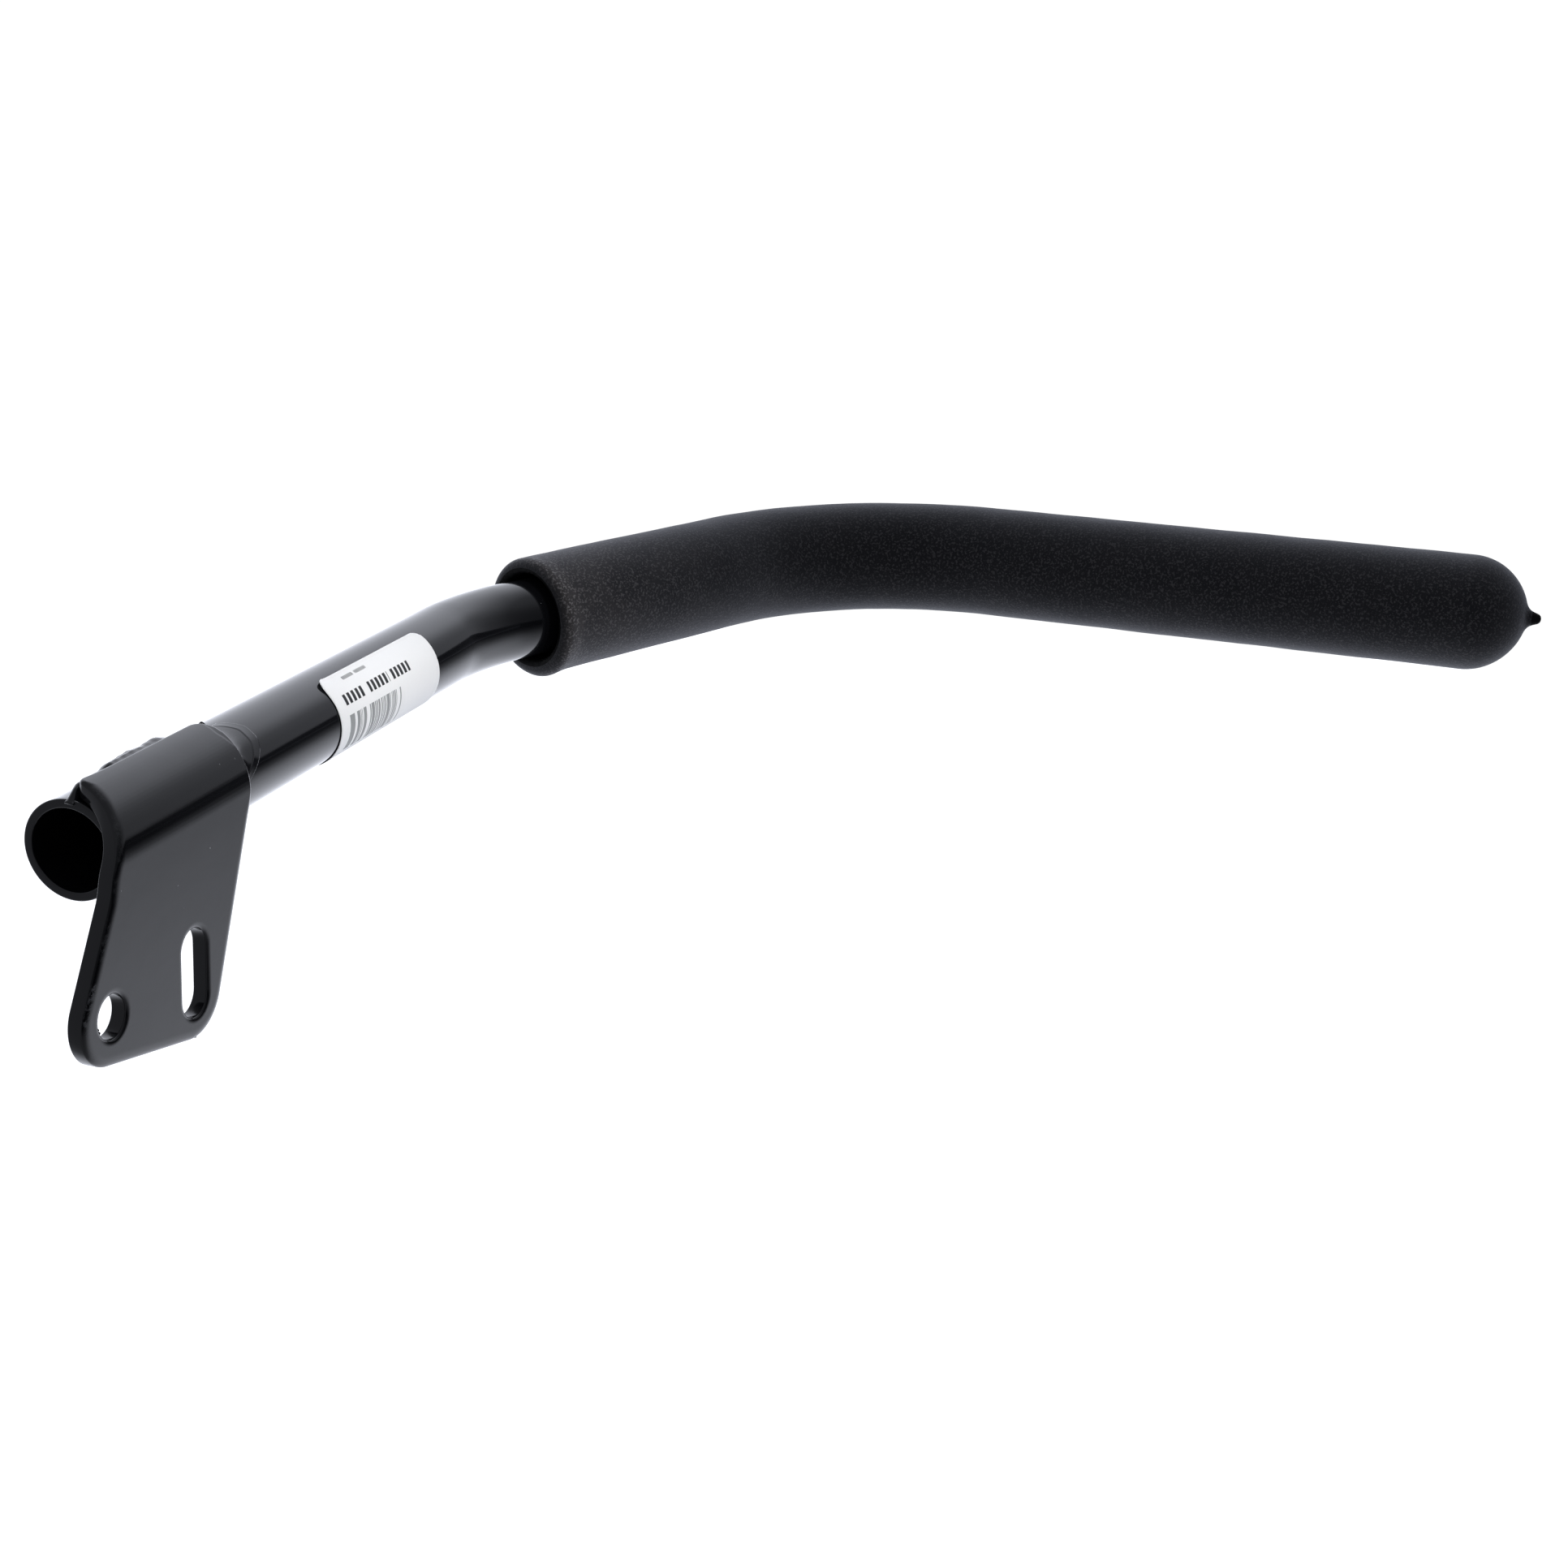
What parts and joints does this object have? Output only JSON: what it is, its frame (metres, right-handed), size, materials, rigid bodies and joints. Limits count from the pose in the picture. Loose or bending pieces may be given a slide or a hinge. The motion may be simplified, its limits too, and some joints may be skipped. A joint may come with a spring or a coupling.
{
  "type": "control handle",
  "caption": "Bent steel tube handle with a closed-end foam grip and a welded hook bracket that has a bolt hole and an adjustment slot.",
  "frame": {"origin": "on the mounting bracket's flat outer face, halfway between the bolt hole and the adjustment slot", "axes": "+X along the tube's first straight, away from its open end; -Y out of the bracket's outer face; +Z from the bracket up to the tube, normal to the plane of the bends"},
  "size_m": [0.4174, 0.3437, 0.0754],
  "materials": {
    "tube_paint": "gloss",
    "bracket_paint": "semi-gloss",
    "weld_paint": "gloss",
    "foam": "matte, fine-grained",
    "label_paper": "matte"
  },
  "bodies": {
    "root": {"handle_tube": "tube_paint", "mounting_bracket": "bracket_paint", "crest_weld_seam": "weld_paint", "rim_weld_fillet": "weld_paint", "foam_grip": "foam", "sticker": "label_paper"}
  },
  "joints": []
}
